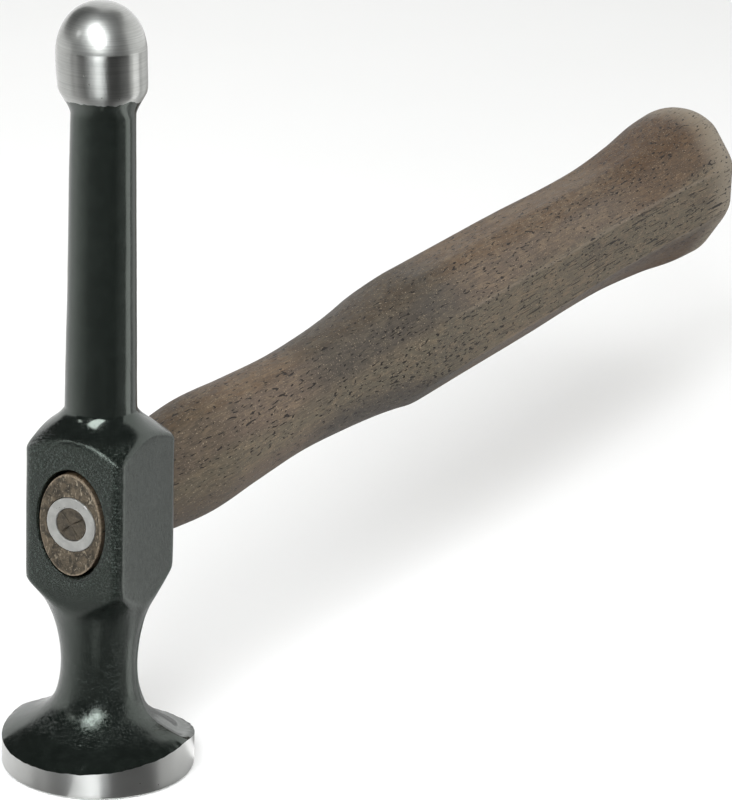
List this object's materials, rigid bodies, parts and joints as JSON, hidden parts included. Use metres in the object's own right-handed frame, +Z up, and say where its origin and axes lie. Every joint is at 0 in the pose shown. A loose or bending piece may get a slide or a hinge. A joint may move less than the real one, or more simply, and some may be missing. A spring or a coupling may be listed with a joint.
{
  "type": "body hammer",
  "caption": "Forged steel hammer with a round flat face, a long round stem ending in a dome, and an eight-sided hickory handle fixed by a ring wedge.",
  "frame": {"origin": "centre of the striking face", "axes": "+Z up the axis of the head from the striking face to the dome, +Y along the handle to its butt, +X to the right cheek"},
  "size_m": [0.04, 0.331, 0.1617],
  "materials": {
    "lacquered_steel": "gloss black lacquer over forged steel, ground bare on the rim and the dome",
    "bare_steel": "machined",
    "hickory": "dark stained, satin"
  },
  "bodies": {
    "root": {"head": "lacquered_steel", "handle": "hickory", "ring_wedge": "bare_steel"}
  },
  "joints": []
}
